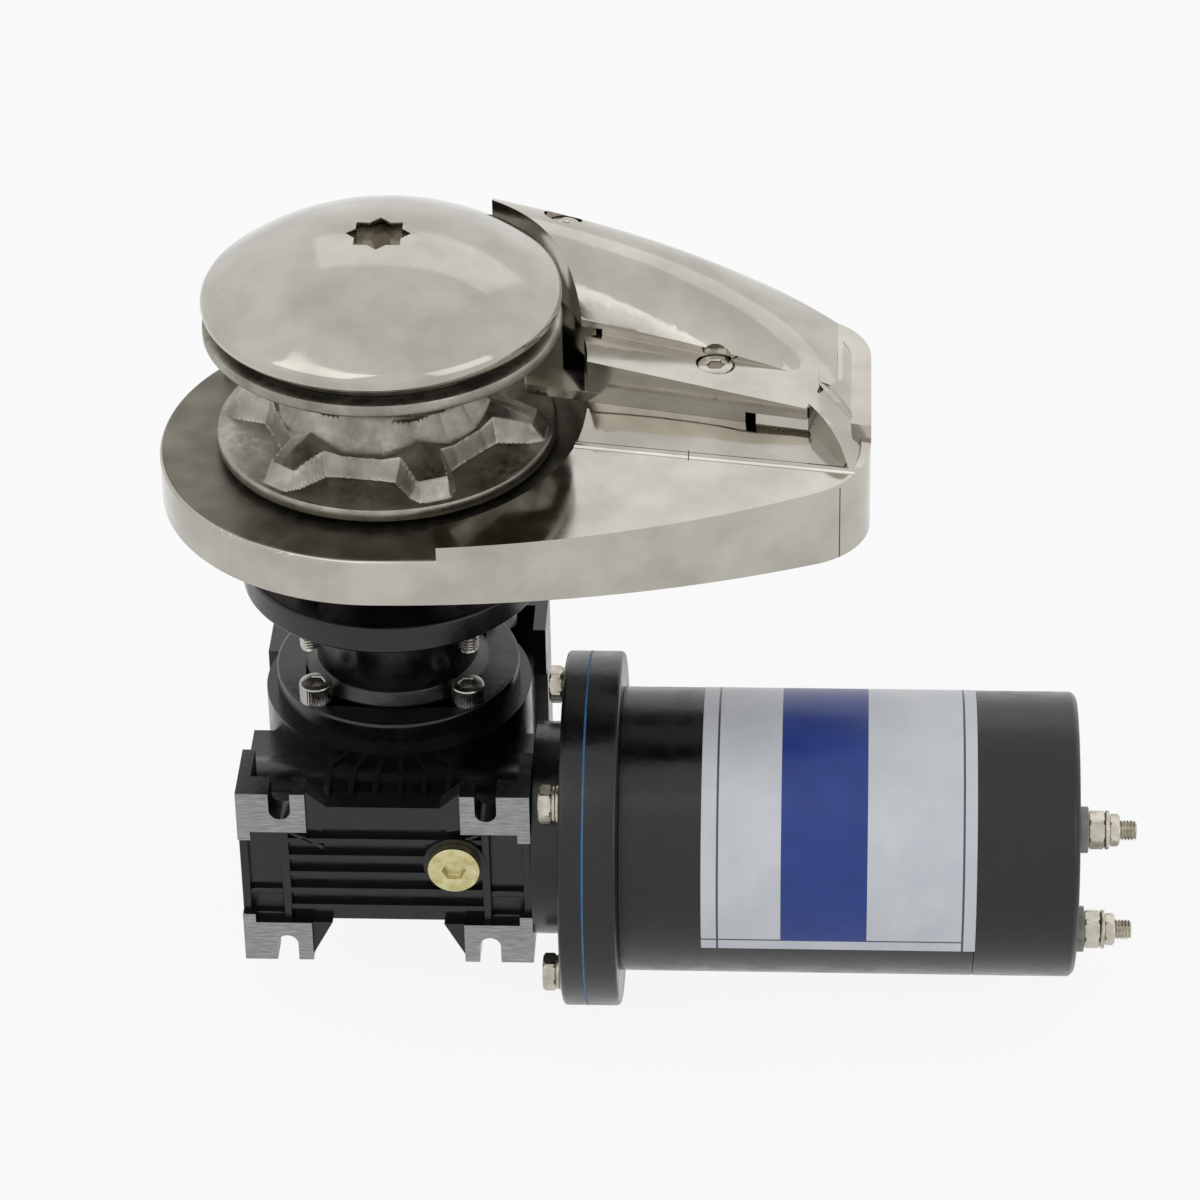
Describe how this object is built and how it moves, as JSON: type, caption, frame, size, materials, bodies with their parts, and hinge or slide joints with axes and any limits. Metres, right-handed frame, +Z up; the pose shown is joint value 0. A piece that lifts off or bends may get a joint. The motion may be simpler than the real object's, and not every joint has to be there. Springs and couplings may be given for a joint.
{
  "type": "anchor windlass",
  "caption": "Vertical anchor windlass: chain wheel with cone clutch under a domed cap, hooded chain pipe on a tapered deck plate, worm gearbox and motor below deck.",
  "frame": {"origin": "on the main shaft's axis, level with the underside of the deck plate", "axes": "+Z up along the main shaft towards the clutch cap, +X from the shaft towards the nose of the deck plate and the motor's end, -Y towards the worm's side"},
  "size_m": [0.3795, 0.2085, 0.3104],
  "materials": {
    "polished_steel": "mirror polished stainless steel",
    "satin_steel": "satin stainless steel",
    "machined_steel": "machined steel",
    "black_enamel": "gloss black enamel on cast aluminium and steel",
    "grey_iron": "cast iron",
    "yellow_zinc": "yellow passivated zinc plating",
    "copper": "bare copper alloy",
    "bronze": "bearing bronze",
    "grey_plastic": "light grey moulded insulating plastic",
    "black_plastic": "moulded insulating plastic",
    "carbon": "pressed carbon or ferrite"
  },
  "bodies": {
    "base": {"deck_plate": "polished_steel", "chain_hood": "polished_steel", "hood_screw_front": "polished_steel", "hood_screw_back": "polished_steel", "chain_stripper": "satin_steel", "guard_post": "polished_steel", "shaft_bush": "bronze", "thrust_washer": "bronze", "deck_tube": "black_enamel", "deck_bolt_1": "satin_steel", "deck_bolt_2": "satin_steel", "deck_bolt_3": "satin_steel", "deck_bolt_4": "satin_steel", "mounting_spool": "black_enamel", "spool_screw_1": "satin_steel", "spool_screw_2": "satin_steel", "spool_screw_3": "satin_steel", "spool_screw_4": "satin_steel", "gearbox_housing": "black_enamel", "case_cover": "black_enamel", "upper_wheel_bearing": "machined_steel", "lower_wheel_bearing": "machined_steel", "worm_bearing_left": "machined_steel", "worm_bearing_right": "machined_steel", "worm_end_cap": "black_enamel", "oil_plug": "yellow_zinc", "motor_adapter": "black_enamel", "flange_bolt_1": "satin_steel", "flange_bolt_2": "satin_steel", "flange_bolt_3": "satin_steel", "flange_bolt_4": "satin_steel", "motor_front_cap": "black_enamel", "motor_tube": "black_enamel", "motor_rear_cap": "black_enamel", "motor_bearing_front": "machined_steel", "motor_bearing_rear": "machined_steel", "upper_magnet": "carbon", "lower_magnet": "carbon", "brush_plate": "black_plastic", "brush_upper": "carbon", "brush_lower": "carbon", "terminal_stud_upper": "copper", "terminal_insulator_upper": "grey_plastic", "terminal_nut_upper": "satin_steel", "terminal_stud_lower": "copper", "terminal_insulator_lower": "grey_plastic", "terminal_nut_lower": "satin_steel"},
    "drive": {"main_shaft": "machined_steel", "clutch_key": "machined_steel", "wheel_key": "machined_steel", "lower_cone": "machined_steel", "wheel_hub": "grey_iron", "worm_wheel": "bronze"},
    "chain_wheel": {"gypsy": "satin_steel"},
    "clutch": {"upper_cone": "machined_steel"},
    "cap": {"clutch_cap": "polished_steel"},
    "worm": {"worm_shaft": "machined_steel", "armature_shaft": "machined_steel", "armature_core": "machined_steel", "commutator": "copper"}
  },
  "joints": [
    {"name": "worm_spin", "type": "hinge", "parent": "base", "child": "worm", "pos_m": [0, -0.05, -0.13], "axis": [1, 0, 0], "continuous": true},
    {"name": "shaft_spin", "type": "hinge", "parent": "base", "child": "drive", "pos_m": [0, 0, 0], "axis": [0, 0, 1], "continuous": true},
    {"name": "gypsy_spin", "type": "hinge", "parent": "drive", "child": "chain_wheel", "pos_m": [0, 0, 0.05], "axis": [0, 0, 1], "continuous": true},
    {"name": "cone_lift", "type": "slide", "parent": "drive", "child": "clutch", "axis": [0, 0, 1], "range_m": [0, 0.002]},
    {"name": "cap_turn", "type": "hinge", "parent": "clutch", "child": "cap", "pos_m": [0, 0, 0.09], "axis": [0, 0, 1], "range_deg": [0, 240]}
  ],
  "couplings": [
    {"joint": "shaft_spin", "follows": "worm_spin", "ratio": -0.033333},
    {"joint": "cone_lift", "follows": "cap_turn", "m_per_rad": 0.00047746}
  ]
}
